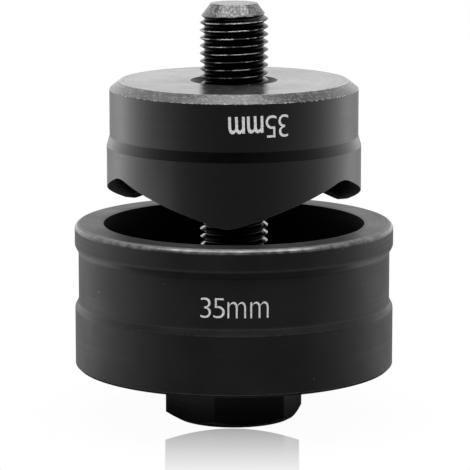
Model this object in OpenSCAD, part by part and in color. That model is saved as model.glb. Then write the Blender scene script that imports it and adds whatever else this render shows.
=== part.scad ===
// Three-tooth knockout punch on its draw screw
// The screw draws the toothed punch into the cup-shaped die, which shears a round hole in sheet metal.
// The part stands on the screw's head with its axis upright, and the origin is the centre of that face.

/* [Cut] */
// Diameter of the hole that the punch cuts
hole_d = 35; // [26:0.5:48]
// Radial gap between the punch's cutting band and the die's bore
shear_gap = 0.5; // [0.2:0.05:1]
// Gap between the tooth tips and the die's rim, as the punch is set
set_gap = 1.9; // [0.5:0.1:10]

/* [Punch] */
// Number of teeth
tooth_count = 3; // [3:1:4]
// Angle of the tooth flanks from level, along the cutting edge
flank_angle = 17.5; // [12:0.5:20]
// Radius of the rounded valleys between the teeth
valley_r = 5; // [1:0.5:6]
// Radius of the rounded tooth tips
tip_r = 4; // [1:0.5:6]
// Width of the land left on the tooth tips by the hollow inside them
tip_land_w = 1.2; // [0.5:0.1:3]
// Height of the hollow inside the teeth, from the tooth tips to its flat floor
hollow_h = 6.6; // [2:0.1:8]
// Width of the hollow's flat floor round the threaded bore
hollow_floor_w = 2.6; // [0.5:0.1:4]
// Height of the cutting band, from the tooth tips to the taper
cutting_band_h = 8.9; // [7.5:0.1:14]
// Height of the taper above the cutting band
taper_h = 1.4; // [0.5:0.1:3]
// Depth that the upper band is turned down below the cutting band
relief = 0.4; // [0.1:0.05:1]
// Height of the upper band, from the taper to the top chamfer
upper_band_h = 6.4; // [4:0.1:12]
// Width of the chamfer round the top face
top_chamfer_w = 1.4; // [0.4:0.1:3]
// Height of the chamfer round the top face
top_chamfer_h = 1.1; // [0.4:0.1:3]
// Width of the countersink at the mouth of the threaded bore
countersink_w = 1.2; // [0.4:0.1:3]
// Height of the countersink
countersink_h = 1.2; // [0.4:0.1:3]
// Radial clearance between the threaded bore and the screw
thread_clearance = 0.05; // [0.02:0.01:0.1]
// Turn of the punch about the axis, as it is set
punch_turn = -2.5; // [-60:0.5:60]

/* [Die] */
// Thickness of the die's wall round the bore
die_wall = 4; // [2.5:0.1:8]
// Thickness of the die's floor, which the screw passes through
die_floor = 7; // [4:0.1:9]
// Radius in the corner between the bore and the floor
floor_r = 1; // [0.3:0.1:2]
// Height of the plain band at the foot of the die
base_band_h = 8.4; // [4:0.1:14]
// Height of the waist between its sloped shoulders
waist_h = 6.8; // [3:0.1:14]
// Depth that the waist is turned below the bands beside it
waist_depth = 0.5; // [0.1:0.1:1.5]
// Height of each sloped shoulder of the waist
shoulder_h = 0.9; // [0.3:0.1:3]
// Height of the lip below the die's rim
lip_h = 3; // [1.5:0.1:8]
// Width of the sloped cutting land round the mouth of the bore
mouth_w = 0.7; // [0.2:0.1:1]
// Fall of the cutting land towards the bore
mouth_h = 0.1; // [0.05:0.05:0.5]
// Width of the broken edge round the die's rim
rim_break = 0.5; // [0.1:0.1:1.2]
// Width of the broken edge round the die's foot
foot_break = 0.4; // [0.1:0.1:2]
// Radial clearance between the hole in the floor and the screw
floor_clearance = 0.2; // [0.1:0.05:0.6]

/* [Draw screw] */
// Outside diameter of the screw's thread
screw_d = 9.4; // [6:0.1:12]
// Length of the screw that stands out of the punch, as it is set
stand_out = 10.6; // [5:0.1:30]
// Width of the chamfer at the screw's end
tip_chamfer_w = 1.5; // [0.5:0.1:2.5]
// Height of the chamfer at the screw's end
tip_chamfer_h = 2; // [0.5:0.1:4]
// Width of the hexagon head across its flats
head_af = 17; // [14:0.5:24]
// Height of the hexagon head
head_h = 7.3; // [4:0.1:12]
// Distance from the head's flats in to the round edge of its end face
head_chamfer_w = 0.4; // [0:0.1:2]
// Angle of the head's chamfer from level
head_chamfer_angle = 30; // [15:1:45]
// Turn of the head about the axis, as it is set
head_turn = 14.5; // [0:0.5:60]

/* [Hidden] */
$fn = 96;

// Distance that a cut runs past the surface that it opens
run_out = 1;
// Segments that make a rounded corner
arc_steps = 8;
// Facets round the cutting edge for each tooth
tooth_steps = 40;
// Sides of the head
hex_sides = 6;
// Direction of the front tooth about the axis
front = -90;

// Radii
cut_r = hole_d / 2;
upper_r = cut_r - relief;
die_bore_r = cut_r + shear_gap;
die_r = die_bore_r + die_wall;
waist_r = die_r - waist_depth;
screw_r = screw_d / 2;
punch_bore_r = screw_r + thread_clearance;
hollow_floor_r = punch_bore_r + hollow_floor_w;
die_hole_r = screw_r + floor_clearance;
head_r = head_af / 2 / cos(180 / hex_sides);
head_face_r = head_af / 2 - head_chamfer_w;

// Turn about the axis from one tooth to the next
tooth_turn = 360 / tooth_count;
// Length along the cutting edge's circle that a turn about the axis covers
function edge_run(turn) = cut_r * turn * PI / 180;
// Length along that circle from the crest of a valley to the tooth tip beside it
flank_run = edge_run(tooth_turn / 2);
// Fall of a rounded corner at a distance from its middle
function corner_fall(r, side) = r - sqrt(r * r - side * side);
// Height that rounding takes off the corner between two flanks
function corner_loss(r) = r * (1 / cos(flank_angle) - 1);
// Height of the teeth, which stand midway between two valleys
tooth_h = flank_run * tan(flank_angle) - corner_loss(valley_r) - corner_loss(tip_r);

// Drop of the cutting edge below the crest of a valley, at a turn about the axis from that crest
function edge_drop(turn) =
    let (side = edge_run(turn), rest = flank_run - side)
    side < valley_r * sin(flank_angle) ? corner_fall(valley_r, side)
        : rest < tip_r * sin(flank_angle) ? tooth_h - corner_fall(tip_r, rest)
        : side * tan(flank_angle) - corner_loss(valley_r);

// Levels along the axis, from the head's end face upwards
die_z = head_h;
floor_z = die_z + die_floor;
base_z = die_z + base_band_h;
waist_z = base_z + shoulder_h;
lip_shoulder_z = waist_z + waist_h;
lip_z = lip_shoulder_z + shoulder_h;
rim_z = lip_z + lip_h;
tip_z = rim_z + set_gap;
hollow_z = tip_z + hollow_h;
valley_z = tip_z + tooth_h;
taper_z = tip_z + cutting_band_h;
upper_z = taper_z + taper_h;
chamfer_z = upper_z + upper_band_h;
top_z = chamfer_z + top_chamfer_h;
screw_z = top_z + stand_out;

// Points of an arc about a centre, from one angle to another
function arc(centre, r, from, to) = [
    for (i = [0 : arc_steps])
        let (a = from + (to - from) * i / arc_steps)
        centre + r * [cos(a), sin(a)]
];

// Cup that the punch is drawn into
module die() {
    color("#232325")
        rotate_extrude()
            polygon(concat(
                [
                    [die_hole_r, die_z],
                    [die_r - foot_break, die_z],
                    [die_r, die_z + foot_break],
                    [die_r, base_z],
                    [waist_r, waist_z],
                    [waist_r, lip_shoulder_z],
                    [die_r, lip_z],
                    [die_r, rim_z - rim_break],
                    [die_r - rim_break, rim_z],
                    [die_bore_r + mouth_w, rim_z],
                    [die_bore_r, rim_z - mouth_h]
                ],
                arc([die_bore_r - floor_r, floor_z + floor_r], floor_r, 0, -90),
                [[die_hole_r, floor_z]]
            ));
}

// Hexagon-headed screw, with a plain shank at the thread's outside diameter
module draw_screw() {
    head_cone_r = head_face_r + head_h / tan(head_chamfer_angle);
    color("#1b1b1d") {
        intersection() {
            rotate([0, 0, head_turn]) cylinder(h = head_h, r = head_r, $fn = hex_sides);
            cylinder(h = head_h, r1 = head_face_r, r2 = head_cone_r);
        }
        rotate_extrude()
            polygon([
                [0, head_h / 2],
                [screw_r, head_h / 2],
                [screw_r, screw_z - tip_chamfer_h],
                [screw_r - tip_chamfer_w, screw_z],
                [0, screw_z]
            ]);
    }
}

// Milling cut that leaves the teeth: its top rises and falls round the axis and is level along each radius
module tooth_cut() {
    steps = tooth_count * tooth_steps;
    in_r = punch_bore_r / 2;
    out_r = cut_r + run_out;
    low_z = tip_z - run_out;
    corner_count = 4;
    points = [
        for (i = [0 : steps - 1])
            let (
                turn = i * 360 / steps,
                z = valley_z - edge_drop(abs(turn % tooth_turn - tooth_turn / 2)),
                way = [cos(front + turn), sin(front + turn)]
            )
            for (corner = [[in_r, z], [in_r, low_z], [out_r, low_z], [out_r, z]])
                [corner[0] * way[0], corner[0] * way[1], corner[1]]
    ];
    faces = [
        for (i = [0 : steps - 1], k = [0 : corner_count - 1])
            let (
                here = corner_count * i,
                next = corner_count * ((i + 1) % steps),
                k_next = (k + 1) % corner_count
            )
            for (face = [
                [here + k, here + k_next, next + k_next],
                [here + k, next + k_next, next + k]
            ])
                face
    ];
    polyhedron(points, faces);
}

// Punch, whose hollow rim is milled into teeth
module punch() {
    color("#2a2a2c")
        difference() {
            rotate_extrude()
                polygon([
                    [punch_bore_r, hollow_z],
                    [hollow_floor_r, hollow_z],
                    [cut_r - tip_land_w, tip_z],
                    [cut_r, tip_z],
                    [cut_r, taper_z],
                    [upper_r, upper_z],
                    [upper_r, chamfer_z],
                    [upper_r - top_chamfer_w, top_z],
                    [punch_bore_r + countersink_w, top_z],
                    [punch_bore_r, top_z - countersink_h]
                ]);
            rotate([0, 0, punch_turn]) tooth_cut();
        }
}

die();
draw_screw();
punch();
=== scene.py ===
"""Dresses the knockout punch: turned black-oxide steel, a rolled thread and etched size marks."""
import logging
import math
from dataclasses import dataclass, field
from enum import Enum
from typing import Callable, Dict, List, Optional, Sequence, Tuple

import bmesh
import bpy
from mathutils import Matrix, Vector


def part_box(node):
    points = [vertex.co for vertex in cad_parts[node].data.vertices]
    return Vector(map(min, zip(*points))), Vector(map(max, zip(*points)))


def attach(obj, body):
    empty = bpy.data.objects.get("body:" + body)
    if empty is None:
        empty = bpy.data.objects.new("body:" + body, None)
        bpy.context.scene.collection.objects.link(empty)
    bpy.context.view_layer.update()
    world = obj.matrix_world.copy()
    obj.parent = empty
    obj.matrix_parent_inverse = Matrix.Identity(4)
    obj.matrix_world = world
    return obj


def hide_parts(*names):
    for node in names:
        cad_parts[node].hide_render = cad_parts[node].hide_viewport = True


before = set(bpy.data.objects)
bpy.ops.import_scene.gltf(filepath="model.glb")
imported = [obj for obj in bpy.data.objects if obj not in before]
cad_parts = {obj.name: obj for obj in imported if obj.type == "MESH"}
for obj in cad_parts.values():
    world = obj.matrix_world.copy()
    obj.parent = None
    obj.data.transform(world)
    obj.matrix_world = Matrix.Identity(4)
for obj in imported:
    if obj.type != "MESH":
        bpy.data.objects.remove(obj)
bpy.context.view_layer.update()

Pair = Tuple[float, float]
Triple = Tuple[float, float, float]
Colour = Tuple[float, float, float, float]
Socket = bpy.types.NodeSocket

LOG = logging.getLogger("knockout_punch")

# Units in metres
MM = 0.001
MICRON = 0.001 * MM
# Direction of the front about the axis, in radians
FRONT = math.radians(-90.0)
# Segments that round a turned edge
FILLET_STEPS = 4


class Body(Enum):
    """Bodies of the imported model, each with one node of the same name."""

    DIE = "die"
    SCREW = "draw_screw"
    PUNCH = "punch"


class Slot(Enum):
    """Material slots of the record."""

    DIE = "die_steel"
    SCREW = "screw_steel"
    PUNCH = "punch_steel"


class DieZone(Enum):
    """Parts of the die that have a finish of their own, in the order of its materials."""

    OUTSIDE = 0
    # BORE takes a darker, duller copy of the oxide: painted shade inside the cup
    BORE = 1
    RIM = 2
    # SHOULDER takes a darker, less shiny copy of the oxide: painted shade on the two shoulders
    SHOULDER = 3


class PunchZone(Enum):
    """Parts of the punch that have a finish of their own, in the order of its materials."""

    BANDS = 0
    HOLLOW = 1
    # TAPER takes a darker copy of the oxide: painted shade on the taper band
    TAPER = 2
    TOP = 3
    CHAMFER = 4


class ScrewZone(Enum):
    """Parts of the screw that have a finish of their own, in the order of its materials."""

    THREAD = 0
    TIP = 1
    HEAD = 2
    # The thread below the punch takes a copy of its finish with dark crests: painted shade
    IN_PUNCH_SHADE = 3


class Reading(Enum):
    """Ways that a size mark stands on its cylinder."""

    UPRIGHT = 1
    UPSIDE_DOWN = -1


def smooth_step(low: float, high: float, x: float) -> float:
    """Eases from 0 where x is low to 1 where it is high."""
    t = min(1.0, max(0.0, (x - low) / (high - low)))
    return t * t * (3.0 - 2.0 * t)


def link(name: str, data: bpy.types.ID) -> bpy.types.Object:
    """Makes an object and links it to the scene.

    Args:
        name: the object's name.
        data: its mesh, text curve, camera or light.

    Returns:
        The object.
    """
    made = bpy.data.objects.new(name, data)
    bpy.context.scene.collection.objects.link(made)
    return made


def to_mesh(name: str, form: bmesh.types.BMesh) -> bpy.types.Mesh:
    """Turns a form into a mesh and frees the form.

    Args:
        name: the mesh's name.
        form: the form, in metres.

    Returns:
        The mesh.
    """
    mesh = bpy.data.meshes.new(name)
    form.to_mesh(mesh)
    form.free()
    return mesh


def grey(level: float) -> Colour:
    """A grey colour of that linear level."""
    return (level, level, level, 1.0)


class Graph:
    """Adds nodes to one node tree and joins them."""

    def __init__(self, tree: bpy.types.NodeTree) -> None:
        """Empties the tree and keeps it."""
        tree.nodes.clear()
        self.tree = tree

    def feed(self, taker: Socket, value: object) -> None:
        """Sets an input.

        Args:
            taker: the input.
            value: a number or colour for it, or the socket that it is joined to.
        """
        if isinstance(value, Socket):
            self.tree.links.new(value, taker)
        else:
            taker.default_value = value

    def add(self, kind: str, inputs: Optional[dict] = None, **settings: object) -> bpy.types.Node:
        """Adds a node.

        Args:
            kind: the node's Blender type.
            inputs: values or sockets by the name or number of the input that takes them.
            settings: attributes of the node.

        Returns:
            The node.
        """
        node = self.tree.nodes.new(kind)
        for name, value in settings.items():
            setattr(node, name, value)
        for key, value in (inputs or {}).items():
            self.feed(node.inputs[key], value)
        return node

    def math(self, operation: str, *values: object, clamp: bool = False) -> Socket:
        """Adds a Math node on numbers or sockets, held between 0 and 1 if asked, and returns its result."""
        inputs = dict(enumerate(values))
        return self.add("ShaderNodeMath", inputs, operation=operation, use_clamp=clamp).outputs[0]

    def product(self, first: Socket, *others: object) -> Socket:
        """Multiplies numbers and sockets.

        Args:
            first: the first socket.
            others: numbers or sockets, in the order that they are multiplied in.

        Returns:
            The socket of the result.
        """
        result = first
        for other in others:
            result = self.math("MULTIPLY", result, other)
        return result

    def noise(self, vector: Socket, scale: float, detail: float) -> Socket:
        """Adds a noise of about 0.5 on average, with scale cells in a unit of the vector, and returns it."""
        inputs = {"Vector": vector, "Scale": scale, "Detail": detail}
        return self.add("ShaderNodeTexNoise", inputs).outputs[0]

    def spread(self, value: Socket, low: float, high: float,
               to_low: float = 0.0, to_high: float = 1.0) -> Socket:
        """Maps low and high onto to_low and to_high, holds the result between them and returns it."""
        inputs = {"Value": value, "From Min": low, "From Max": high, "To Min": to_low, "To Max": to_high}
        return self.add("ShaderNodeMapRange", inputs, clamp=True).outputs[0]

    def tint(self, share: object, a: object, b: object) -> Socket:
        """Mixes two colours.

        Args:
            share: how much of b shows, as a number or socket.
            a: first colour or socket.
            b: second colour or socket.

        Returns:
            The socket of the colour.
        """
        node = self.add("ShaderNodeMix", data_type="RGBA")
        takers = {taker.identifier: taker for taker in node.inputs}
        self.feed(takers["Factor_Float"], share)
        self.feed(takers["A_Color"], a)
        self.feed(takers["B_Color"], b)
        return next(giver for giver in node.outputs if giver.identifier == "Result_Color")

    def blend(self, share: object, a: bpy.types.Node, b: bpy.types.Node) -> bpy.types.Node:
        """Mixes two shaders, the second by the share, and returns the node."""
        return self.add("ShaderNodeMixShader", {0: share, 1: a.outputs[0], 2: b.outputs[0]})

    def bump(self, height: Socket, depth: float) -> Socket:
        """Adds a bump of that height times the depth in metres, and returns its normal."""
        inputs = {"Height": height, "Distance": depth, "Strength": 1.0}
        return self.add("ShaderNodeBump", inputs).outputs[0]

    def place_mm(self) -> Tuple[Socket, Socket, Socket]:
        """Reads the place on the piece.

        Returns:
            Sockets of the place in mm, of its distance from the axis and of its height.
        """
        place = self.add("ShaderNodeTexCoord").outputs["Object"]
        to_mm = {0: place, "Scale": 1.0 / MM}
        scaled = self.add("ShaderNodeVectorMath", to_mm, operation="SCALE").outputs[0]
        parts = self.add("ShaderNodeSeparateXYZ", {0: scaled}).outputs
        flat = self.add("ShaderNodeCombineXYZ", {0: parts[0], 1: parts[1]}).outputs[0]
        radius = self.add("ShaderNodeVectorMath", {0: flat}, operation="LENGTH").outputs["Value"]
        return scaled, radius, parts[2]

    def seen(self) -> Socket:
        """Adds a socket that is 1 for rays from the camera or through glass, and returns it."""
        ray = self.add("ShaderNodeLightPath").outputs
        return self.math("MAXIMUM", ray["Is Camera Ray"], ray["Is Transmission Ray"])


def new_finish(name: str) -> Tuple[bpy.types.Material, Graph]:
    """Starts a finish.

    Args:
        name: the material's name.

    Returns:
        The material and its empty graph.
    """
    made = bpy.data.materials.new(name)
    made.use_nodes = True
    return made, Graph(made.node_tree)


@dataclass(frozen=True)
class OxideSteel:
    """Machined steel with a black-oxide skin, worn to paler metal along its edges.

    Attributes:
        skin: colour of the oxide where it is darkest.
        worn: colour of the bare metal.
        ior: how strongly the oxide shines.
        wear: share of bare metal where an edge is fully worn.
        line_gloss: how far the turned lines vary the roughness to each side.
        grain_band, cloud_band: levels of the noise between which the oxide turns pale.
        mottle: how much paler than at its darkest the oxide is in the middle of its range.
        roughness_spread: how far the clouds vary the roughness in all, between the levels of satin_band.
        rub_patches: levels of the noise at which a bare patch begins and is full.
        least_rub: share of the wear that is left between the patches.
        specks: strength of the pale specks of dust.
        speck_edge: distances from its middle at which a speck begins to fade and is gone.
        speck_pick: levels of a random number between which a speck comes out.
    """

    name: str
    skin: Triple
    worn: Triple
    roughness: float
    ior: float
    wear: float
    lines_per_mm: float = 2.6
    line_depth_um: float = 1.2
    line_gloss: float = 0.03
    grain_per_mm: float = 5.0
    grain_depth_um: float = 3.0
    grain_band: Pair = (0.50, 0.80)
    grain_share: float = 0.6
    clouds_per_mm: float = 0.16
    cloud_band: Pair = (0.35, 0.65)
    mottle: float = 0.35
    roughness_spread: float = 0.10
    satin_band: Pair = (0.3, 0.7)
    rub_per_mm: float = 1.3
    rub_patches: Pair = (0.30, 0.62)
    least_rub: float = 0.0
    specks: float = 0.0
    specks_per_mm: float = 0.55
    speck_edge: Pair = (0.04, 0.075)
    speck_pick: Pair = (0.80, 0.92)
    speck_level: float = 0.45
    octaves: float = 3.0
    cloud_octaves: float = 4.0

    def material(self) -> bpy.types.Material:
        """Makes the finish.

        Returns:
            The material.
        """
        made, graph = new_finish(self.name)
        place, radius, height = graph.place_mm()
        rings = graph.add("ShaderNodeCombineXYZ", {0: radius, 1: height}).outputs[0]
        lines = graph.noise(rings, self.lines_per_mm, self.octaves)
        grain = graph.noise(place, self.grain_per_mm, self.octaves)
        clouds = graph.noise(place, self.clouds_per_mm, self.cloud_octaves)
        bare = self.bare_mask(graph, place)
        colour = graph.tint(bare, self.oxide(graph, clouds, grain), (*self.worn, 1.0))
        if self.specks:
            colour = graph.tint(self.speck_mask(graph, place), colour, grey(self.speck_level))
        relief = graph.math("ADD", graph.math("MULTIPLY", lines, self.line_depth_um),
                            graph.math("MULTIPLY", grain, self.grain_depth_um))
        steel = graph.add("ShaderNodeBsdfPrincipled", {
            "Base Color": colour,
            "Metallic": bare,
            "Roughness": self.satin(graph, clouds, lines),
            "IOR": self.ior,
            "Normal": graph.bump(relief, MICRON),
        })
        graph.add("ShaderNodeOutputMaterial", {"Surface": steel.outputs[0]})
        return made

    def oxide(self, graph: Graph, clouds: Socket, grain: Socket) -> Socket:
        """Mottles the oxide.

        Args:
            graph: the finish's graph.
            clouds: socket of the clouds.
            grain: socket of the grain.

        Returns:
            The socket of the oxide's colour.
        """
        dark = (*self.skin, 1.0)
        pale = (*[c * (1.0 + 2.0 * self.mottle) for c in self.skin], 1.0)
        cloudy = graph.tint(graph.spread(clouds, *self.cloud_band), dark, pale)
        return graph.tint(graph.spread(grain, *self.grain_band, 0.0, self.grain_share), cloudy, pale)

    def bare_mask(self, graph: Graph, place: Socket) -> Socket:
        """Rubs the oxide off along worn edges, in patches.

        Args:
            graph: the finish's graph.
            place: socket of the place in mm.

        Returns:
            The socket of the share of bare metal.
        """
        edge = graph.add("ShaderNodeAttribute", attribute_name="wear").outputs["Fac"]
        patches = graph.noise(place, self.rub_per_mm, self.octaves)
        rubbed = graph.spread(patches, *self.rub_patches, self.least_rub, 1.0)
        return graph.product(edge, rubbed, self.wear)

    def satin(self, graph: Graph, clouds: Socket, lines: Socket) -> Socket:
        """Varies the roughness with the clouds and the turned lines.

        Args:
            graph: the finish's graph.
            clouds: socket of the clouds.
            lines: socket of the turned lines.

        Returns:
            The socket of the roughness.
        """
        half = self.roughness_spread / 2.0
        cloudy = graph.spread(clouds, *self.satin_band, self.roughness - half, self.roughness + half)
        turned = graph.spread(lines, *self.satin_band, -self.line_gloss, self.line_gloss)
        return graph.math("ADD", cloudy, turned)

    def speck_mask(self, graph: Graph, place: Socket) -> Socket:
        """Scatters a few pale specks of dust.

        Args:
            graph: the finish's graph.
            place: socket of the place in mm.

        Returns:
            The socket of their mask.
        """
        cells = graph.add("ShaderNodeTexVoronoi", {"Vector": place, "Scale": self.specks_per_mm}).outputs
        near = graph.spread(cells["Distance"], *self.speck_edge, 1.0, 0.0)
        pick = graph.add("ShaderNodeSeparateColor", {0: cells["Color"]}).outputs[0]
        return graph.product(near, graph.spread(pick, *self.speck_pick), self.specks)


@dataclass(frozen=True)
class EtchedMark:
    """Pale frosted mark etched through the oxide, from least_share of its grey to all of it."""

    name: str
    pale: float = 0.80
    least_share: float = 0.55
    roughness: float = 0.6
    frost_per_mm: float = 7.0
    frost_depth_um: float = 4.0
    frost_band: Pair = (0.3, 0.6)
    octaves: float = 3.0

    def material(self) -> bpy.types.Material:
        """Makes the finish.

        Returns:
            The material.
        """
        made, graph = new_finish(self.name)
        place, _, _ = graph.place_mm()
        frost = graph.noise(place, self.frost_per_mm, self.octaves)
        share = graph.spread(frost, *self.frost_band)
        etched = graph.add("ShaderNodeBsdfPrincipled", {
            "Base Color": graph.tint(share, grey(self.pale * self.least_share), grey(self.pale)),
            "Roughness": self.roughness,
            "Normal": graph.bump(frost, self.frost_depth_um * MICRON),
        })
        graph.add("ShaderNodeOutputMaterial", {"Surface": etched.outputs[0]})
        return made


# Metal and oxide colours that several finishes share
DULL_RUBBED = (0.30, 0.30, 0.31)
RUBBED = (0.42, 0.42, 0.43)
PALE_RUBBED = (0.70, 0.70, 0.71)
BARE = (0.85, 0.85, 0.86)
DIE_BLACK = (0.005, 0.005, 0.0052)
TOP_BLACK = (0.004, 0.004, 0.0041)
OIL_BLACK = (0.0004, 0.0004, 0.0005)

# Finishes of the die
DIE_STEEL = OxideSteel(
    "oxide_die", skin=DIE_BLACK, worn=RUBBED, roughness=0.51, ior=1.53, wear=0.3, least_rub=0.45, specks=0.5)
# The bore's finish is a darker, duller copy of the die's oxide: painted shade on the cup's wall, floor and
# hole
DIE_BORE_SHADE_STEEL = OxideSteel(
    "oxide_die_bore_painted_shade", skin=(0.0010, 0.0010, 0.0011), worn=DULL_RUBBED, roughness=0.52, ior=1.25, wear=0.1)
DIE_RIM_STEEL = OxideSteel(
    "oxide_die_rim", skin=DIE_BLACK, worn=(0.5, 0.5, 0.51), roughness=0.24, ior=1.5, wear=0.24,
    rub_per_mm=0.9, rub_patches=(0.40, 0.64), least_rub=0.25)
# The shoulders' finish is a darker, less shiny copy of the die's oxide, which dims the light that they
# reflect: painted shade
DIE_SHOULDER_SHADE_STEEL = OxideSteel(
    "oxide_die_shoulder_painted_shade", skin=(0.0035, 0.0035, 0.0036), worn=RUBBED, roughness=0.38, ior=1.42, wear=0.3,
    least_rub=0.2)
DIE_MARK = EtchedMark("etched_die_mark")

# Finishes of the punch
PUNCH_STEEL = OxideSteel(
    "oxide_punch", skin=(0.0006, 0.0006, 0.0007), worn=RUBBED, roughness=0.27, ior=2.0, wear=0.4,
    grain_per_mm=2.0, grain_depth_um=6.0)
PUNCH_HOLLOW_STEEL = OxideSteel(
    "oxide_punch_hollow", skin=(0.0012, 0.0012, 0.0013), worn=DULL_RUBBED, roughness=0.45, ior=1.35,
    wear=0.1)
# The taper's finish is a darker, less shiny copy of the punch's oxide: painted shade on the taper band
PUNCH_TAPER_SHADE_STEEL = OxideSteel(
    "oxide_punch_taper_painted_shade", skin=(0.0003, 0.0003, 0.0004), worn=RUBBED, roughness=0.23, ior=1.72, wear=0.3,
    grain_per_mm=2.0)
PUNCH_TOP_STEEL = OxideSteel(
    "oxide_punch_top", skin=TOP_BLACK, worn=PALE_RUBBED, roughness=0.27, ior=2.12, wear=0.9,
    grain_per_mm=3.0, grain_depth_um=8.0, mottle=3.0, rub_patches=(0.40, 0.65))
PUNCH_CHAMFER_STEEL = OxideSteel(
    "oxide_punch_chamfer", skin=TOP_BLACK, worn=(0.8, 0.8, 0.81), roughness=0.29, ior=1.72, wear=0.8,
    grain_per_mm=3.0, grain_depth_um=8.0, mottle=3.0, rub_per_mm=2.4, rub_patches=(0.50, 0.66))
PUNCH_MARK = EtchedMark("etched_punch_mark")

# Finishes of the draw screw
THREAD_STEEL = OxideSteel(
    "oxide_thread", skin=OIL_BLACK, worn=BARE, roughness=0.2, ior=1.2, wear=0.9,
    line_depth_um=0.6, rub_per_mm=0.8, rub_patches=(0.46, 0.60), least_rub=0.06)
# Copy of the thread's finish for the thread in the punch's shade: its crests are left dark, as painted
# shade, and it shines more, so that only the thread's sides catch bright reflections
THREAD_SHADE_STEEL = OxideSteel(
    "thread_in_punch_shade", skin=OIL_BLACK, worn=BARE, roughness=0.16, ior=1.75, wear=0.03, line_depth_um=0.6)
TIP_STEEL = OxideSteel(
    "oxide_screw_tip", skin=(0.008, 0.008, 0.0082), worn=PALE_RUBBED, roughness=0.33, ior=1.62, wear=0.26,
    line_depth_um=2.0, grain_per_mm=2.8, grain_depth_um=20.0, mottle=1.5, rub_per_mm=3.5,
    rub_patches=(0.46, 0.62))
HEAD_STEEL = OxideSteel(
    "oxide_screw_head", skin=OIL_BLACK, worn=(0.40, 0.40, 0.41), roughness=0.30, ior=1.46, wear=0.08,
    line_depth_um=0.6)


@dataclass(frozen=True)
class Corner:
    """Corner of a turned profile, in mm.

    Attributes:
        zone: zone of the corner and of the side after it.
        rub: least wear at the start and the end of the rounding.
        edge_wear: wear in the middle of the rounding, where the corner stands out.
    """

    r: float
    z: float
    fillet: float
    zone: Enum
    rub: Pair = (0.0, 0.0)
    edge_wear: float = 1.0


@dataclass(frozen=True)
class RimPoint:
    """Point of a rounded profile, in mm: share says how far round its corner it lies, from 0 to 1."""

    r: float
    z: float
    normal_r: float
    normal_z: float
    wear: float
    corner: int
    share: float
    zone: Enum


# Profile at an angle, with the sideways lean of each point's normal
Column = Tuple[List[RimPoint], List[float]]


def rounded_profile(corners: Sequence[Corner]) -> List[RimPoint]:
    """Rounds the corners of a closed profile.

    Args:
        corners: corners in order, with the metal on the left.

    Returns:
        Points with outward normals, a fixed number for each corner.
    """
    normals = []
    for a, b in zip(corners, list(corners[1:]) + [corners[0]]):
        run = math.hypot(b.r - a.r, b.z - a.z)
        normals.append(((b.z - a.z) / run, (a.r - b.r) / run))
    points = []
    for i, at in enumerate(corners):
        (r1, z1), (r2, z2) = normals[i - 1], normals[i]
        turn = math.atan2(r1 * z2 - z1 * r2, r1 * r2 + z1 * z2)
        radius = math.copysign(at.fillet, turn)
        reach = radius / (1.0 + math.cos(turn))
        centre_r, centre_z = at.r - reach * (r1 + r2), at.z - reach * (z1 + z2)
        for k in range(FILLET_STEPS + 1):
            share = k / FILLET_STEPS
            angle = math.atan2(z1, r1) + turn * share
            out_r, out_z = math.cos(angle), math.sin(angle)
            edge = at.edge_wear * (1.0 - abs(2.0 * share - 1.0)) if turn > 0.0 else 0.0
            wear = max(edge, at.rub[0] + (at.rub[1] - at.rub[0]) * share)
            points.append(RimPoint(centre_r + radius * out_r, centre_z + radius * out_z,
                                   out_r, out_z, wear, i, share, at.zone))
    return points


@dataclass
class Surface:
    """Mesh in the making: points in mm with their normals and wear, and faces with their zones."""

    points: List[Triple] = field(default_factory=list)
    normals: List[Triple] = field(default_factory=list)
    wear: List[float] = field(default_factory=list)
    faces: List[Tuple[int, ...]] = field(default_factory=list)
    zones: List[int] = field(default_factory=list)

    def ring(self, points: Sequence[Triple], wear: Sequence[float]) -> int:
        """Adds a ring of points.

        Args:
            points: the points, in order.
            wear: how worn each one is.

        Returns:
            The number of the ring's first point.
        """
        first = len(self.points)
        self.points.extend(points)
        self.wear.extend(wear)
        return first

    def join(self, low: int, high: int, count: int) -> None:
        """Joins two rings with quads.

        Args:
            low: number of the lower ring's first point.
            high: number of the upper ring's first point.
            count: points in each ring.
        """
        for j in range(count):
            after = (j + 1) % count
            self.faces.append((low + j, low + after, high + after, high + j))

    def to_object(self, name: str, finishes: Sequence[OxideSteel]) -> bpy.types.Object:
        """Makes the Blender object.

        Args:
            name: the piece's name.
            finishes: finishes of its zones, in order.

        Returns:
            The object, linked to the scene.
        """
        mesh = bpy.data.meshes.new(name)
        mesh.from_pydata([tuple(c * MM for c in p) for p in self.points], [], self.faces)
        mesh.attributes.new("wear", "FLOAT", "POINT").data.foreach_set("value", self.wear)
        mesh.shade_smooth()
        if self.normals:
            mesh.normals_split_custom_set_from_vertices(self.normals)
        for finish in finishes:
            mesh.materials.append(finish.material())
        if self.zones:
            mesh.polygons.foreach_set("material_index", self.zones)
        return link(name, mesh)


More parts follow.
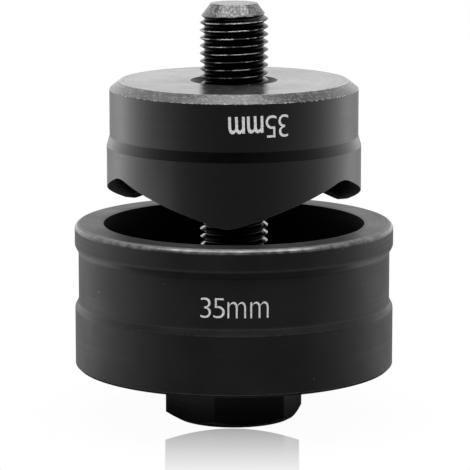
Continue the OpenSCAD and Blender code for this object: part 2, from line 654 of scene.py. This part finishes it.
def revolve(column: Callable[[float], Column], segments: int) -> Surface:
    """Sweeps a closed profile round the axis.

    Args:
        column: gives the profile at an angle in radians.
        segments: columns in a turn.

    Returns:
        The closed surface.
    """
    made = Surface()
    zones: List[int] = []
    for j in range(segments):
        angle = 2.0 * math.pi * j / segments
        cosine, sine = math.cos(angle), math.sin(angle)
        profile, leans = column(angle)
        zones = [p.zone.value for p in profile]
        for p, lean in zip(profile, leans):
            made.points.append((p.r * cosine, p.r * sine, p.z))
            x, y = p.normal_r * cosine - lean * sine, p.normal_r * sine + lean * cosine
            made.normals.append(tuple(Vector((x, y, p.normal_z)).normalized()))
            made.wear.append(p.wear)
    rows = len(zones)
    for j in range(segments):
        here, after = j * rows, (j + 1) % segments * rows
        for k in range(rows):
            up = (k + 1) % rows
            made.faces.append((here + k, after + k, after + up, here + up))
        made.zones += zones
    return made


def seat(piece: bpy.types.Object, body: Body, replaces: bool = False) -> None:
    """Ties a piece to the frame.

    Args:
        piece: the dressed piece.
        body: body that it moves with.
        replaces: whether it stands for that body's node.
    """
    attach(piece, body.value)
    if replaces:
        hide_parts(body.value)
    LOG.info("%s rides on %s", piece.name, body.value)


@dataclass(frozen=True)
class MarkPart:
    """Run of characters in a size mark. Sizes in mm, and bolder as a share of the letter size."""

    text: str
    width: float
    height: float
    spacing: float = 1.0
    bolder: float = 0.0


@dataclass
class SizeMark:
    """Size mark etched on a cylinder of the part. Sizes in mm.

    Attributes:
        gap: space between two parts.
        turn: turn of its middle about the axis from the front, in degrees.
        tilt: how far it leans, in degrees.
        proud: how far it stands above the cylinder.
        strip: width of the strips that it bends in.
        cut_slack: distance within which a point counts as on a strip's side.
    """

    name: str
    parts: Sequence[MarkPart]
    gap: float
    radius: float
    base_z: float
    turn: float
    reading: Reading
    tilt: float = 0.0
    proud: float = 0.012
    strip: float = 0.3
    cut_slack: float = 1e-6
    curve_steps: int = 6

    def flat_mesh(self, part: MarkPart) -> bpy.types.Mesh:
        """Sets the characters of a part flat.

        Args:
            part: the run of characters.

        Returns:
            Their mesh, in units of the letter size.
        """
        curve = bpy.data.curves.new(self.name, "FONT")
        curve.body = part.text
        curve.space_character = part.spacing
        curve.offset = part.bolder
        curve.resolution_u = self.curve_steps
        holder = link(self.name + "_flat", curve)
        bpy.context.view_layer.update()
        drawn = holder.evaluated_get(bpy.context.evaluated_depsgraph_get())
        flat = bpy.data.meshes.new_from_object(drawn)
        bpy.data.objects.remove(holder)
        bpy.data.curves.remove(curve)
        return flat

    def flat_form(self) -> bmesh.types.BMesh:
        """Sets the whole mark flat.

        Returns:
            The characters in mm, about the middle of their base line.
        """
        form = bmesh.new()
        whole = sum(part.width for part in self.parts) + self.gap * (len(self.parts) - 1)
        start = -whole / 2.0
        for part in self.parts:
            first = len(form.verts)
            flat = self.flat_mesh(part)
            form.from_mesh(flat)
            bpy.data.meshes.remove(flat)
            form.verts.ensure_lookup_table()
            points = form.verts[first:]
            left, right = min(v.co.x for v in points), max(v.co.x for v in points)
            low, high = min(v.co.y for v in points), max(v.co.y for v in points)
            for v in points:
                x = start + (v.co.x - left) * part.width / (right - left)
                y = (v.co.y - low) * part.height / (high - low)
                v.co = Vector((x, y, 0.0))
            start += part.width + self.gap
        form.transform(Matrix.Rotation(math.radians(self.tilt), 4, "Z"))
        return form

    def build(self, finish: EtchedMark) -> bpy.types.Object:
        """Cuts the mark into strips and wraps them round the cylinder.

        Args:
            finish: the mark's finish.

        Returns:
            The piece.
        """
        form = self.flat_form()
        cuts = int(max(v.co.x for v in form.verts) / self.strip)
        for i in range(-cuts, cuts + 1):
            parts = form.verts[:] + form.edges[:] + form.faces[:]
            bmesh.ops.bisect_plane(form, geom=parts, plane_co=(i * self.strip, 0.0, 0.0),
                                   plane_no=(1.0, 0.0, 0.0), dist=self.cut_slack)
        r = self.radius + self.proud
        for v in form.verts:
            x, y = v.co.x * self.reading.value, v.co.y * self.reading.value
            angle = FRONT + math.radians(self.turn) + x / r
            v.co = Vector((r * math.cos(angle), r * math.sin(angle), self.base_z + y)) * MM
        form.normal_update()
        for face in form.faces:
            face.smooth = True
        made = link(self.name, to_mesh(self.name, form))
        made.data.materials.append(finish.material())
        return made


@dataclass
class Die:
    """Cup that the punch is drawn into, with its size mark. Sizes in mm, angles in degrees."""

    bottom_z: float = field(default_factory=lambda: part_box("die")[0][2] / MM)
    top_z: float = field(default_factory=lambda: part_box("die")[1][2] / MM)
    outer_r: float = field(default_factory=lambda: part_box("die")[1][0] / MM)
    bore_r: float = 18.0
    waist_r: float = 21.5
    hole_r: float = 4.9
    floor_h: float = 7.0
    floor_fillet: float = 1.0
    base_band_h: float = 8.4
    shoulder_h: float = 0.9
    waist_h: float = 6.8
    foot_break: float = 0.4
    rim_break: float = 0.5
    mouth_w: float = 0.7
    mouth_h: float = 0.1
    edge_r: float = 0.12
    bore_edge_r: float = 0.05
    rim_edge_r: float = 0.6
    shoulder_edge_r: float = 1.0
    shoulder_wear: float = 0.15
    segments: int = 288
    digits: MarkPart = MarkPart("35", width=3.24, height=2.72, spacing=0.84, bolder=-0.014)
    unit: MarkPart = MarkPart("mm", width=5.47, height=2.2, bolder=-0.014)
    mark_gap: float = 0.36
    mark_rise: float = 10.75
    mark_turn: float = 0.2

    def corners(self) -> List[Corner]:
        """Lists the corners of the turned profile.

        Returns:
            The corners, from the hole in the floor outwards and round.
        """
        foot = self.bottom_z + self.foot_break
        base = self.bottom_z + self.base_band_h
        waist = base + self.shoulder_h
        lip_shoulder = waist + self.waist_h
        lip = lip_shoulder + self.shoulder_h
        floor = self.bottom_z + self.floor_h
        rim_r = self.outer_r - self.rim_break
        mouth_r = self.bore_r + self.mouth_w
        return [
            Corner(self.hole_r, self.bottom_z, self.edge_r, DieZone.OUTSIDE),
            Corner(self.outer_r - self.foot_break, self.bottom_z, self.edge_r, DieZone.OUTSIDE),
            Corner(self.outer_r, foot, self.edge_r, DieZone.OUTSIDE),
            Corner(self.outer_r, base, self.shoulder_edge_r, DieZone.SHOULDER, edge_wear=self.shoulder_wear),
            Corner(self.waist_r, waist, self.shoulder_edge_r, DieZone.OUTSIDE),
            Corner(self.waist_r, lip_shoulder, self.shoulder_edge_r, DieZone.SHOULDER),
            Corner(self.outer_r, lip, self.shoulder_edge_r, DieZone.OUTSIDE, edge_wear=self.shoulder_wear),
            Corner(self.outer_r, self.top_z - self.rim_break, self.rim_edge_r, DieZone.RIM, rub=(0.0, 1.0)),
            Corner(rim_r, self.top_z, self.rim_edge_r, DieZone.OUTSIDE, rub=(1.0, 0.0)),
            Corner(mouth_r, self.top_z, self.edge_r, DieZone.OUTSIDE),
            Corner(self.bore_r, self.top_z - self.mouth_h, self.bore_edge_r, DieZone.BORE),
            Corner(self.bore_r, floor, self.floor_fillet, DieZone.BORE),
            Corner(self.hole_r, floor, self.edge_r, DieZone.BORE),
        ]

    def build(self) -> List[bpy.types.Object]:
        """Makes the die and its size mark.

        Returns:
            The two pieces, tied to the frame.
        """
        profile = rounded_profile(self.corners())
        level = [0.0] * len(profile)
        shell = revolve(lambda angle: (profile, level), self.segments).to_object(
            "die_body", (DIE_STEEL, DIE_BORE_SHADE_STEEL, DIE_RIM_STEEL, DIE_SHOULDER_SHADE_STEEL))
        seat(shell, Body.DIE, replaces=True)
        size_mark = SizeMark(
            "die_size_mark", (self.digits, self.unit), self.mark_gap, self.waist_r,
            self.bottom_z + self.mark_rise, self.mark_turn, Reading.UPRIGHT)
        mark = size_mark.build(DIE_MARK)
        seat(mark, Body.DIE)
        return [shell, mark]


@dataclass
class Punch:
    """Punch with its milled teeth, its hollow and its size mark. Sizes in mm, angles in degrees."""

    tip_z: float = field(default_factory=lambda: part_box("punch")[0][2] / MM)
    top_z: float = field(default_factory=lambda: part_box("punch")[1][2] / MM)
    cut_r: float = 17.5
    teeth: int = 3
    turn: float = -2.5
    flank: float = 17.5
    valley_r: float = 5.0
    tip_r: float = 4.0
    land_w: float = 1.2
    hollow_h: float = 6.6
    hollow_floor_r: float = 7.35
    cutting_band_h: float = 8.9
    taper_h: float = 1.4
    upper_r: float = 17.1
    chamfer_w: float = 1.4
    chamfer_h: float = 1.1
    bore_r: float = 4.75
    countersink_w: float = 1.2
    countersink_h: float = 1.2
    edge_r: float = 0.12
    chamfer_edge_r: float = 0.16
    chamfer_rub: float = 0.14
    cutting_edge_r: float = 0.07
    taper_edge_r: float = 0.15
    taper_wear: float = 0.1
    segments: int = 360
    digits: MarkPart = MarkPart("35", width=3.19, height=3.0, spacing=0.84, bolder=-0.010)
    unit: MarkPart = MarkPart("mm", width=4.67, height=2.3, bolder=0.012)
    mark_gap: float = 0.31
    mark_drop: float = 2.67
    mark_turn: float = 11.07
    mark_tilt: float = 1.5

    def edge_drop(self, turn: float) -> float:
        """Finds the drop of the cutting edge below the crest of a valley.

        Args:
            turn: angle from the middle of the valley, in radians.

        Returns:
            The drop in mm.
        """
        slope = math.radians(self.flank)
        loss = 1.0 / math.cos(slope) - 1.0
        whole = self.cut_r * math.pi / self.teeth
        run = self.cut_r * turn
        rest = whole - run
        if run < self.valley_r * math.sin(slope):
            return self.valley_r - math.sqrt(self.valley_r ** 2 - run ** 2)
        if rest < self.tip_r * math.sin(slope):
            height = whole * math.tan(slope) - (self.valley_r + self.tip_r) * loss
            return height - self.tip_r + math.sqrt(self.tip_r ** 2 - rest ** 2)
        return run * math.tan(slope) - self.valley_r * loss

    def edge_z(self, angle: float) -> float:
        """Finds the height of the cutting edge, which has a tooth near the front.

        Args:
            angle: angle about the axis, in radians.

        Returns:
            The height in mm.
        """
        pitch = 2.0 * math.pi / self.teeth
        turn = abs((angle - FRONT - math.radians(self.turn)) % pitch - pitch / 2.0)
        return self.tip_z + self.edge_drop(pitch / 2.0) - self.edge_drop(turn)

    def corners(self, edge: float) -> List[Corner]:
        """Lists the corners of the profile where the cutting edge has a given height.

        Args:
            edge: height of the cutting edge.

        Returns:
            The corners, from the bore outwards and round.
        """
        land_r = self.cut_r - self.land_w
        hollow_slope = self.hollow_h / (land_r - self.hollow_floor_r)
        kink_r = land_r - (edge - self.tip_z) / hollow_slope
        hollow = self.tip_z + self.hollow_h
        taper = self.tip_z + self.cutting_band_h
        upper = taper + self.taper_h
        chamfer = self.top_z - self.chamfer_h
        face_r = self.upper_r - self.chamfer_w
        mouth_r = self.bore_r + self.countersink_w
        rub = self.chamfer_rub
        return [
            Corner(self.bore_r, hollow, self.edge_r, PunchZone.HOLLOW),
            Corner(self.hollow_floor_r, hollow, self.edge_r, PunchZone.HOLLOW),
            Corner(kink_r, edge, self.edge_r, PunchZone.HOLLOW),
            Corner(self.cut_r, edge, self.cutting_edge_r, PunchZone.BANDS),
            Corner(self.cut_r, taper, self.taper_edge_r, PunchZone.TAPER, edge_wear=self.taper_wear),
            Corner(self.upper_r, upper, self.taper_edge_r, PunchZone.BANDS),
            Corner(self.upper_r, chamfer, self.chamfer_edge_r, PunchZone.CHAMFER, rub=(0.0, rub)),
            Corner(face_r, self.top_z, self.chamfer_edge_r, PunchZone.TOP, rub=(rub, 0.0)),
            Corner(mouth_r, self.top_z, self.edge_r, PunchZone.HOLLOW),
            Corner(self.bore_r, self.top_z - self.countersink_h, self.edge_r, PunchZone.HOLLOW),
        ]

    def column(self, angle: float) -> Column:
        """Rounds the profile at an angle, and leans the normals of the milled face as the face rises.

        Args:
            angle: angle about the axis, in radians.

        Returns:
            The rounded profile and the sideways lean of each point's normal.
        """
        profile = rounded_profile(self.corners(self.edge_z(angle)))
        kink, cutting = 2, 3
        step = math.pi / self.segments
        rise = (self.edge_z(angle + step) - self.edge_z(angle - step)) / (2.0 * step)
        leans = []
        for p in profile:
            milled = {kink: p.share, cutting: 1.0}.get(p.corner, 0.0)
            leans.append(-p.normal_z * milled * rise / p.r)
        return profile, leans

    def build(self) -> List[bpy.types.Object]:
        """Makes the punch and its size mark.

        Returns:
            The two pieces, tied to the frame.
        """
        finishes = (PUNCH_STEEL, PUNCH_HOLLOW_STEEL, PUNCH_TAPER_SHADE_STEEL, PUNCH_TOP_STEEL, PUNCH_CHAMFER_STEEL)
        shell = revolve(self.column, self.segments).to_object("punch_body", finishes)
        seat(shell, Body.PUNCH, replaces=True)
        size_mark = SizeMark(
            "punch_size_mark", (self.digits, self.unit), self.mark_gap, self.upper_r,
            self.top_z - self.mark_drop, self.mark_turn, Reading.UPSIDE_DOWN, self.mark_tilt)
        mark = size_mark.build(PUNCH_MARK)
        seat(mark, Body.PUNCH)
        return [shell, mark]


@dataclass
class DrawScrew:
    """Hexagon-headed screw with its rolled thread. Sizes in mm, angles in degrees.

    The thread's crest_rows and root_rows give places across half a pitch, as shares of the pitch from the
    middle of the crest, with the drop there below the crest and the rise there above the root.
    """

    end_z: float = field(default_factory=lambda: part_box("draw_screw")[1][2] / MM)
    thread_r: float = 4.7
    pitch: float = 25.4 / 24.0
    thread_angle: float = 60.0
    depth_share: float = 5.0 / 8.0
    crest_rows: Sequence[Pair] = ((0.0, 0.0), (0.025, 0.003), (0.046, 0.016), (0.066, 0.045), (0.16, 0.190))
    root_rows: Sequence[Pair] = ((0.28, 0.170), (0.36, 0.030), (0.40, -0.030), (0.45, -0.065), (0.5, -0.072))
    thread_phase: float = -0.197
    spare_turns: int = 3
    worn_from: float = 42.2
    worn_full: float = 55.2
    crest_wear_h: float = 0.045
    least_wear: float = 0.03
    shank_z: float = 8.1
    # Height below which the thread, in the punch's shade, takes the painted-shade copy of its finish
    punch_shade_z: float = 33.0
    run_out: float = 1.2
    tip_chamfer_w: float = 1.5
    tip_chamfer_h: float = 2.0
    head_af: float = 17.0
    head_h: float = 7.3
    head_face_r: float = 8.1
    head_chamfer: float = 30.0
    head_turn: float = 14.5
    head_corner_r: float = 0.35
    head_edge: float = 0.15
    collar_w: float = 1.0
    neck_r: float = 0.12
    head_over: float = 0.2
    lift_slack: float = 0.05
    sides: int = 6
    columns: int = 96
    corner_points: int = 4
    weld: float = 0.002
    sliver: float = 0.001
    sharp: float = 32.0

    def angles(self) -> List[float]:
        """Angles of the columns about the axis in radians, from a corner of the head."""
        return [math.radians(self.head_turn) + 2.0 * math.pi * j / self.columns for j in range(self.columns)]

    def circle(self, r: float, z: float) -> List[Triple]:
        """Points of a level circle, one in each column."""
        return [(r * math.cos(angle), r * math.sin(angle), z) for angle in self.angles()]

    def head_outline(self) -> List[Pair]:
        """Draws the hexagon with rounded corners.

        Returns:
            Points in mm, one in each column.
        """
        half = math.pi / self.sides
        inset = (self.head_af / 2.0 - self.head_corner_r) / math.cos(half)
        shares = [2.0 * i / (self.corner_points - 1) - 1.0 for i in range(self.corner_points)]
        arcs = []
        for k in range(self.sides):
            way = math.radians(self.head_turn) + 2.0 * math.pi * k / self.sides
            x, y = inset * math.cos(way), inset * math.sin(way)
            turns = [way + half * share for share in shares]
            arcs.append([(x + self.head_corner_r * math.cos(turn), y + self.head_corner_r * math.sin(turn))
                         for turn in turns])
        flat_steps = self.columns // self.sides - self.corner_points + 1
        outline = []
        for arc, after in zip(arcs, arcs[1:] + arcs[:1]):
            outline += arc
            (x1, y1), (x2, y2) = arc[-1], after[0]
            for i in range(1, flat_steps):
                t = i / flat_steps
                outline.append((x1 + (x2 - x1) * t, y1 + (y2 - y1) * t))
        return outline

    def head_rings(self) -> List[Tuple[List[Triple], float]]:
        """Lists the rings of the head.

        Returns:
            The points of each ring and how worn they are, from the end face to the foot of the shank.
        """
        outline = self.head_outline()
        slope = math.tan(math.radians(self.head_chamfer))
        inner = 1.0 - self.head_edge / (self.head_af / 2.0)
        face, low = [], []
        for x, y in outline:
            out = math.hypot(x, y)
            face.append((self.head_face_r * x / out, self.head_face_r * y / out, 0.0))
            low.append((x, y, (out - self.head_face_r) * slope))
        return [
            (face, 0.0),
            (low, 1.0),
            ([(x, y, z + self.head_edge) for x, y, z in low], 0.0),
            ([(x, y, self.head_h - 2.0 * self.head_edge) for x, y in outline], 0.0),
            ([(x, y, self.head_h - self.head_edge) for x, y in outline], 1.0),
            ([(x * inner, y * inner, self.head_h) for x, y in outline], 1.0),
            (self.circle(self.thread_r + self.collar_w, self.head_h), 0.0),
            (self.circle(self.thread_r + self.neck_r, self.head_h), 0.0),
            (self.circle(self.thread_r, self.head_h + self.neck_r), 0.0),
        ]

    def thread_rows(self) -> List[Pair]:
        """Lists the points across one pitch of the thread.

        Returns:
            Pairs of the place along the pitch, as a share of it, and the radius.
        """
        sharp_h = self.pitch / 2.0 / math.tan(math.radians(self.thread_angle / 2.0))
        root = self.thread_r - self.depth_share * sharp_h
        half = [(share, self.thread_r - drop) for share, drop in self.crest_rows]
        half += [(share, root + rise) for share, rise in self.root_rows]
        return [(-share, r) for share, r in reversed(half[1:-1])] + half

    def thread_line(self, turn: int, share: float, r: float) -> Tuple[List[Triple], List[float]]:
        """Runs a line along the thread for a turn.

        Args:
            turn: number of the turn from the foot of the thread.
            share: place of the line across the pitch, as a share of it.
            r: radius of the line where the thread has its full depth.

        Returns:
            The line's points, held between the thread's two ends and within the end's chamfer, and how worn
            each point is.
        """
        crest = self.thread_r
        points, bevelled = [], []
        for j, angle in enumerate(self.angles()):
            z = self.shank_z + self.pitch * (turn + share + self.thread_phase + j / self.columns)
            z = min(self.end_z, max(self.shank_z, z))
            depth = smooth_step(self.shank_z, self.shank_z + self.run_out, z)
            full = crest + (r - crest) * depth
            bevel = crest - self.tip_chamfer_w * (1.0 - (self.end_z - z) / self.tip_chamfer_h)
            out = min(full, bevel)
            points.append((out * math.cos(angle), out * math.sin(angle), z))
            bevelled.append(bevel <= full)
        driven = smooth_step(self.worn_from, self.worn_full, points[0][2])
        worn = self.least_wear + (1.0 - self.least_wear) * driven
        worn *= smooth_step(crest - self.crest_wear_h, crest, r)
        return points, [1.0 if cut else worn for cut in bevelled]

    def weave(self, made: Surface, lines: Sequence[int]) -> None:
        """Joins the lines of the thread, and the end of each to the start of the same line a turn later.

        Args:
            made: the screw in the making.
            lines: numbers of the lines' first points, in order.
        """
        rows = len(self.thread_rows())
        last = self.columns - 1
        for i, (low, high) in enumerate(zip(lines, lines[1:])):
            for j in range(last):
                made.faces.append((low + j, low + j + 1, high + j + 1, high + j))
            if i + 1 + rows < len(lines):
                made.faces.append((low + last, lines[i + rows], lines[i + 1 + rows], high + last))

    def surface(self) -> Surface:
        """Lays out the screw's points and faces.

        Returns:
            The closed surface, with points that coincide at the thread's two ends.
        """
        made = Surface()
        rings = [made.ring(points, [wear] * self.columns) for points, wear in self.head_rings()]
        turns = int((self.end_z - self.shank_z) / self.pitch) + self.spare_turns
        lines = []
        for turn in range(-1, turns):
            for share, r in self.thread_rows():
                lines.append(made.ring(*self.thread_line(turn, share, r)))
        made.faces.append(tuple(reversed(range(rings[0], rings[0] + self.columns))))
        for low, high in zip(rings, rings[1:] + lines[:1]):
            made.join(low, high, self.columns)
        self.weave(made, lines)
        made.faces.append(tuple(range(lines[-1], lines[-1] + self.columns)))
        return made

    def clean(self, mesh: bpy.types.Mesh) -> None:
        """Welds the points that coincide, and keeps sharp edges sharp.

        Args:
            mesh: the screw's mesh.
        """
        form = bmesh.new()
        form.from_mesh(mesh)
        bmesh.ops.remove_doubles(form, verts=form.verts[:], dist=self.weld * MM)
        bmesh.ops.dissolve_degenerate(form, edges=form.edges[:], dist=self.sliver * MM)
        form.to_mesh(mesh)
        form.free()
        mesh.set_sharp_from_angle(angle=math.radians(self.sharp))

    def zone_of(self, polygon: bpy.types.MeshPolygon) -> ScrewZone:
        """Finds the zone that a face of the screw belongs to.

        Args:
            polygon: the face.

        Returns:
            The zone, from the face's height and the way that it faces.
        """
        z = polygon.center.z / MM
        if z < self.head_h + self.head_over:
            return ScrewZone.HEAD
        # Below the punch the thread takes the painted-shade copy of its finish
        if z < self.punch_shade_z:
            return ScrewZone.IN_PUNCH_SHADE
        chamfer_lift = self.tip_chamfer_w / math.hypot(self.tip_chamfer_h, self.tip_chamfer_w)
        if z > self.end_z - self.tip_chamfer_h and polygon.normal.z > chamfer_lift - self.lift_slack:
            return ScrewZone.TIP
        return ScrewZone.THREAD

    def build(self) -> List[bpy.types.Object]:
        """Makes the screw as one closed mesh.

        Returns:
            The piece, tied to the frame, in a list.
        """
        finishes = (THREAD_STEEL, TIP_STEEL, HEAD_STEEL, THREAD_SHADE_STEEL)
        screw = self.surface().to_object("draw_screw_body", finishes)
        self.clean(screw.data)
        for polygon in screw.data.polygons:
            polygon.material_index = self.zone_of(polygon).value
        seat(screw, Body.SCREW, replaces=True)
        return [screw]


@dataclass(frozen=True)
class SoftBox:
    """Lamp with an even rectangular face, which the camera doesn't see. Sizes in mm.

    Attributes:
        radiance: how bright its face is, where 1 is white.
        glossy: whether shiny surfaces show it.
        diffuse: whether it lights matt surfaces.
    """

    name: str
    place: Triple
    aim: Triple
    size: Pair
    radiance: float
    glossy: bool = True
    diffuse: bool = True

    def hang(self) -> None:
        """Hangs the lamp."""
        light = bpy.data.lights.new(self.name, "AREA")
        light.shape = "RECTANGLE"
        light.size = self.size[0] * MM
        light.size_y = self.size[1] * MM
        light.energy = self.radiance * math.pi * light.size * light.size_y
        lamp = link(self.name, light)
        lamp.location = [c * MM for c in self.place]
        lamp.rotation_euler = (Vector(self.aim) - Vector(self.place)).to_track_quat("-Z", "Y").to_euler()
        lamp.visible_camera = False
        lamp.visible_glossy = self.glossy
        lamp.visible_diffuse = self.diffuse


OVERHEAD_BOX = SoftBox("overhead_box", (0.0, -52.0, 330.0), (0.0, -52.0, 0.0), (420.0, 110.0), radiance=8.0)
FRONT_FILL = SoftBox(
    "front_fill", (0.0, -520.0, 160.0), (0.0, 0.0, 30.0), (500.0, 400.0), radiance=3.0, glossy=False)
LOW_CARD = SoftBox(
    "low_card", (-112.0, -42.0, -4.0), (0.0, -15.0, 14.0), (66.0, 34.0), radiance=0.4, diffuse=False)


@dataclass
class Studio:
    """White set with soft light, a dark room in front of it, and the camera of the photograph.

    Sizes are in mm, and levels are linear, with 1 for white. room_stops gives the room's level from the
    front, 0, to the back, 1. table_levels and wall_levels are added to it below and above the horizon, the
    first of each at back_from and the second at back_full.
    """

    eye: Triple = (0.0, -426.1, 101.0)
    pitch_down: float = 10.06
    focal_px: float = 3128.7
    image_px: float = 470.0
    axis_px: float = 233.97
    sensor_mm: float = 36.0
    clip_start: float = 10.0
    floor_r: float = 38.0
    floor_segments: int = 96
    floor_drop: float = 0.02
    floor_near: float = 20.0
    floor_far: float = 36.0
    floor_level: float = 0.6
    bounce_level: float = 0.12
    shadow_share: float = 0.03
    mirror_start: float = 8.3
    mirror_length: float = 31.2
    mirror_gain: float = 5.4
    mirror_ior: float = 1.1
    mirror_roughness: float = 0.012
    mirror_half_w: float = 9.07
    mirror_middle: float = -0.25
    mirror_bow: float = 0.079
    mirror_taper: float = 0.0021
    mirror_side_fade: float = 0.15
    mirror_start_fade: float = 0.4
    room_stops: Sequence[Pair] = (
        (0.0, 0.006), (0.08, 0.02), (0.2, 0.065), (0.31, 0.12), (0.445, 0.24), (0.605, 0.56), (0.79, 1.0),
        (1.0, 1.0))
    back_level: float = 1.25
    back_from: float = 0.6
    back_full: float = 0.9
    table_levels: Pair = (0.09, -0.7)
    wall_levels: Pair = (0.0, 0.15)
    horizon: Pair = (-0.12, 0.0)
    side_levels: Pair = (1.1, 0.85)
    lamps: Sequence[SoftBox] = (OVERHEAD_BOX, FRONT_FILL, LOW_CARD)

    def camera(self) -> None:
        """Sets up the camera."""
        lens = bpy.data.cameras.new("camera")
        lens.sensor_width = self.sensor_mm
        lens.lens = self.focal_px / self.image_px * self.sensor_mm
        lens.shift_x = (self.image_px / 2.0 - self.axis_px) / self.image_px
        lens.clip_start = self.clip_start * MM
        made = link("camera", lens)
        made.location = [c * MM for c in self.eye]
        made.rotation_euler.x = math.pi / 2.0 - math.radians(self.pitch_down)
        bpy.context.scene.camera = made

    def world(self) -> None:
        """Sets up the surroundings: white to the camera, and a room that is dark in front for the rest."""
        world = bpy.data.worlds.new("studio")
        bpy.context.scene.world = world
        world.use_nodes = True
        graph = Graph(world.node_tree)
        room = graph.add("ShaderNodeBackground", {"Color": self.room_level(graph), "Strength": 1.0})
        white = graph.add("ShaderNodeBackground", {"Color": grey(1.0), "Strength": 1.0})
        shown = graph.blend(graph.seen(), room, white)
        graph.add("ShaderNodeOutputWorld", {"Surface": shown.outputs[0]})

    def room_level(self, graph: Graph) -> Socket:
        """Grades the room by direction.

        Args:
            graph: the world's graph.

        Returns:
            The socket of the room's level.
        """
        way = graph.add("ShaderNodeTexCoord").outputs["Generated"]
        side, depth, up = graph.add("ShaderNodeSeparateXYZ", {0: way}).outputs
        ramp = graph.add("ShaderNodeValToRGB", {0: graph.spread(depth, -1.0, 1.0)})
        elements = ramp.color_ramp.elements
        while len(elements) < len(self.room_stops):
            elements.new(1.0)
        for element, (at, level) in zip(elements, self.room_stops):
            element.position = at
            element.color = grey(level)
        table = graph.spread(depth, self.back_from, self.back_full, *self.table_levels)
        wall = graph.spread(depth, self.back_from, self.back_full, *self.wall_levels)
        raised = graph.spread(up, *self.horizon)
        extra = graph.add("ShaderNodeMix", {"Factor": raised, "A": table, "B": wall}).outputs[0]
        level = graph.math("MULTIPLY_ADD", ramp.outputs[0], self.back_level, extra)
        return graph.math("MULTIPLY", level, graph.spread(side, -1.0, 1.0, *self.side_levels))

    def floor(self) -> None:
        """Lays the pale floor."""
        form = bmesh.new()
        bmesh.ops.create_circle(form, cap_ends=True, radius=self.floor_r * MM, segments=self.floor_segments)
        made = link("floor", to_mesh("floor", form))
        made.location.z = -self.floor_drop * MM
        made.data.materials.append(self.floor_finish())

    def floor_finish(self) -> bpy.types.Material:
        """Makes the floor's finish: white to the camera, with a faint shadow and a mirror image of the head.

        Returns:
            The material.
        """
        paper, graph = new_finish("pale_floor")
        place, radius, _ = graph.place_mm()
        lit = graph.add("ShaderNodeBsdfDiffuse", {"Color": grey(self.floor_level)})
        bounce = graph.add("ShaderNodeBsdfDiffuse", {"Color": grey(self.bounce_level)})
        white = graph.add("ShaderNodeEmission", {"Color": grey(1.0), "Strength": 1.0})
        gloss = graph.add("ShaderNodeBsdfGlossy", {"Color": grey(1.0), "Roughness": self.mirror_roughness})
        shade = graph.spread(radius, self.floor_near, self.floor_far, self.shadow_share, 0.0)
        fresnel = graph.add("ShaderNodeFresnel", {"IOR": self.mirror_ior}).outputs[0]
        mirror = graph.math("MULTIPLY", fresnel, self.mirror_strip(graph, place), clamp=True)
        shown = graph.blend(mirror, graph.blend(shade, white, lit), gloss)
        surface = graph.blend(graph.seen(), bounce, shown)
        graph.add("ShaderNodeOutputMaterial", {"Surface": surface.outputs[0]})
        return paper

    def mirror_strip(self, graph: Graph, place: Socket) -> Socket:
        """Keeps the floor's mirror to a strip in front of the head, which starts on a shallow bow and fades.

        Args:
            graph: the floor's graph.
            place: socket of the place in mm.

        Returns:
            The socket of the strip's strength.
        """
        x, y, _ = graph.add("ShaderNodeSeparateXYZ", {0: place}).outputs
        off = graph.math("SUBTRACT", x, self.mirror_middle)
        ahead = graph.math("SUBTRACT", graph.math("MULTIPLY", y, -1.0), self.mirror_start)
        widened = graph.math("MULTIPLY_ADD", ahead, self.mirror_taper, 1.0)
        across = graph.math("MULTIPLY", graph.math("ABSOLUTE", off), widened)
        side = self.mirror_half_w + self.mirror_side_fade
        strip = graph.spread(across, self.mirror_half_w, side, 1.0, 0.0)
        bow = graph.product(off, off, self.mirror_bow)
        begun = graph.spread(graph.math("SUBTRACT", ahead, bow), 0.0, self.mirror_start_fade)
        fade = graph.spread(ahead, 0.0, self.mirror_length, self.mirror_gain, 0.0)
        return graph.product(strip, begun, fade)

    def build(self) -> None:
        """Sets up the camera, the surroundings, the floor and the lamps."""
        self.camera()
        self.world()
        self.floor()
        for lamp in self.lamps:
            lamp.hang()
        bpy.context.scene.view_settings.view_transform = "Standard"


def main() -> None:
    """Builds the part's pieces and the set."""
    logging.basicConfig(level=logging.INFO, format="%(message)s")
    pieces: List[bpy.types.Object] = []
    for assembly in (Die(), Punch(), DrawScrew()):
        pieces += assembly.build()
    Studio().build()
    for piece in pieces:
        LOG.info("%s: %d faces", piece.name, len(piece.data.polygons))


if __name__ == "__main__":
    main()
